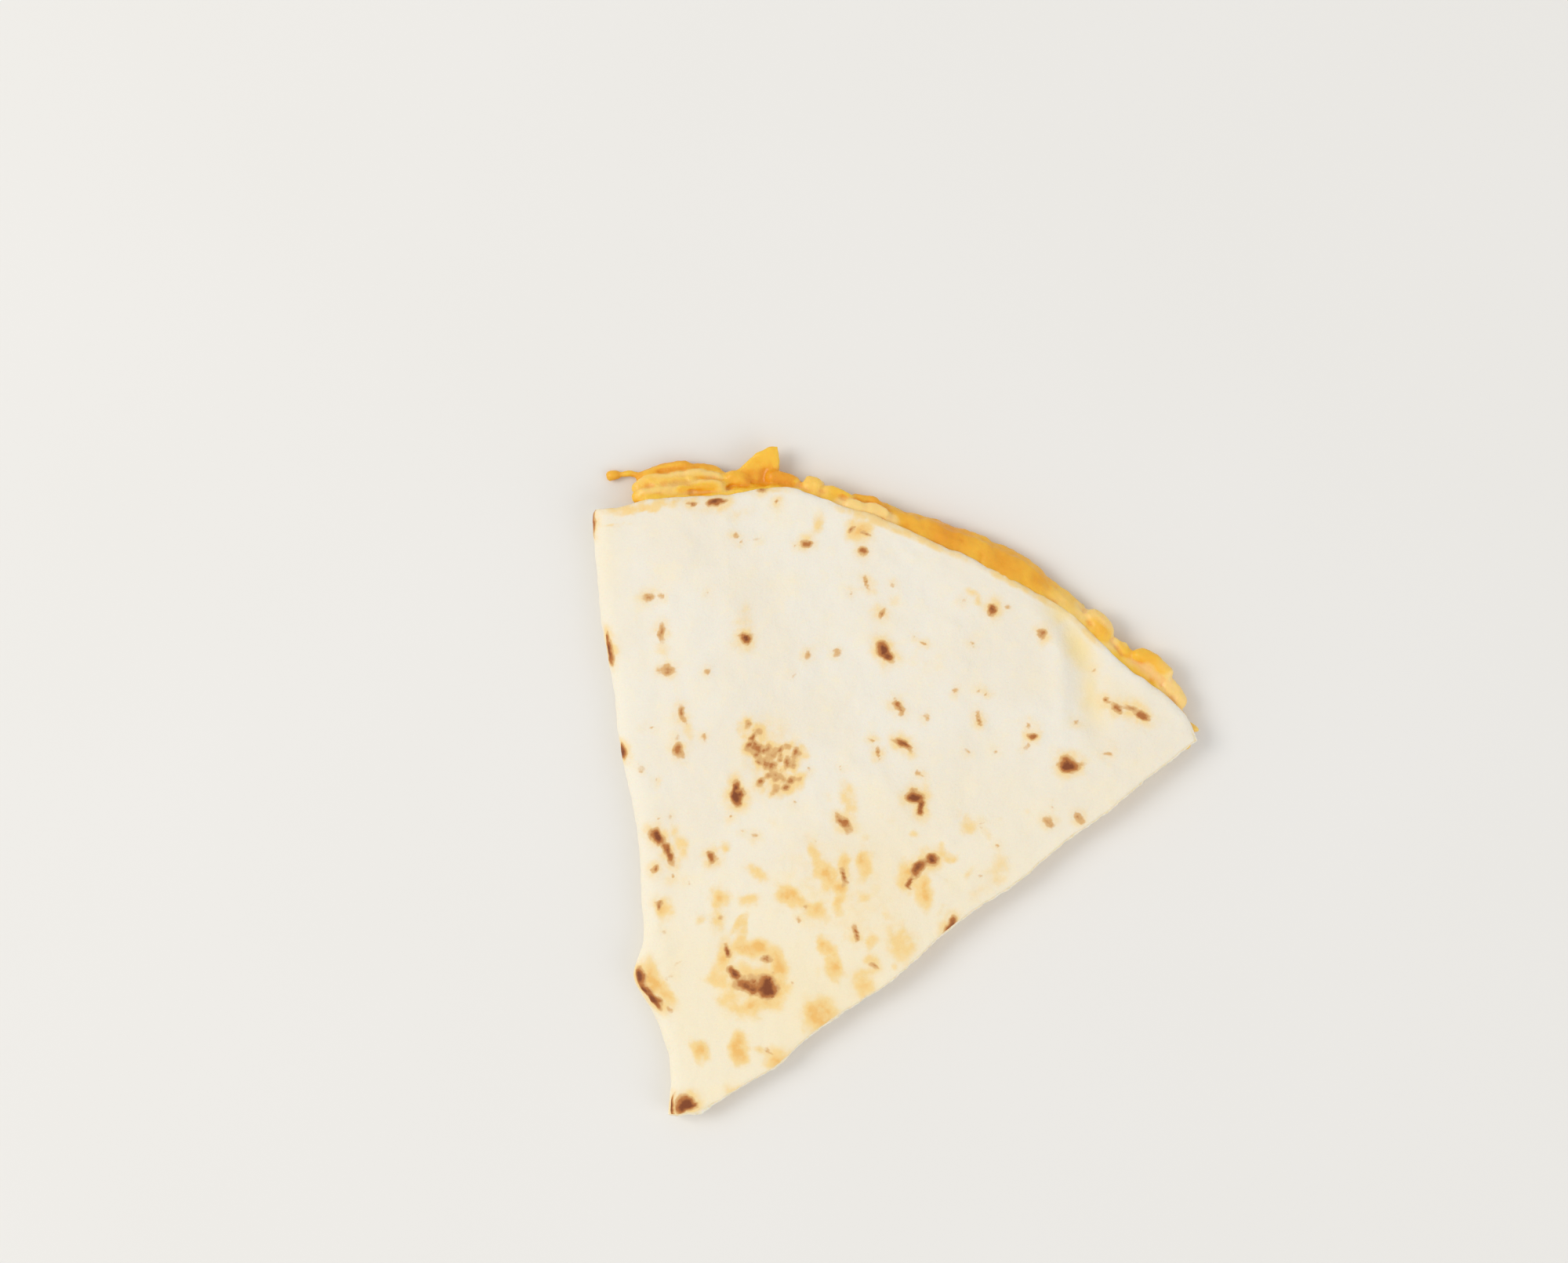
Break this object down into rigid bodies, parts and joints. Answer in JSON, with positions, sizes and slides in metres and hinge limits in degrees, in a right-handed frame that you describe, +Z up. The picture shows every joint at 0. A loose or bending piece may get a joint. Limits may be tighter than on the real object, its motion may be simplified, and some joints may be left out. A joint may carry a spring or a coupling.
{
  "type": "quesadilla wedge",
  "caption": "Flat wedge of folded, toasted flour tortilla with melted cheese between its leaves: folded along one straight side, cut along the other, cheese squeezed out at the round rim.",
  "frame": {"origin": "middle of the bounding box's footprint, on the table under the lower leaf", "axes": "+Z up out of the upper leaf; +Y along the fold from the blunt tip to the round rim; +X from the fold to the cut side"},
  "size_m": [0.11, 0.1254, 0.0075],
  "materials": {
    "toasted_tortilla": "matte pale wheat dough with gold and brown toasted marks",
    "melted_cheese": "soft, slightly oily orange yellow melted cheese"
  },
  "bodies": {
    "root": {"tortilla": "toasted_tortilla", "cheese": "melted_cheese"}
  },
  "joints": []
}
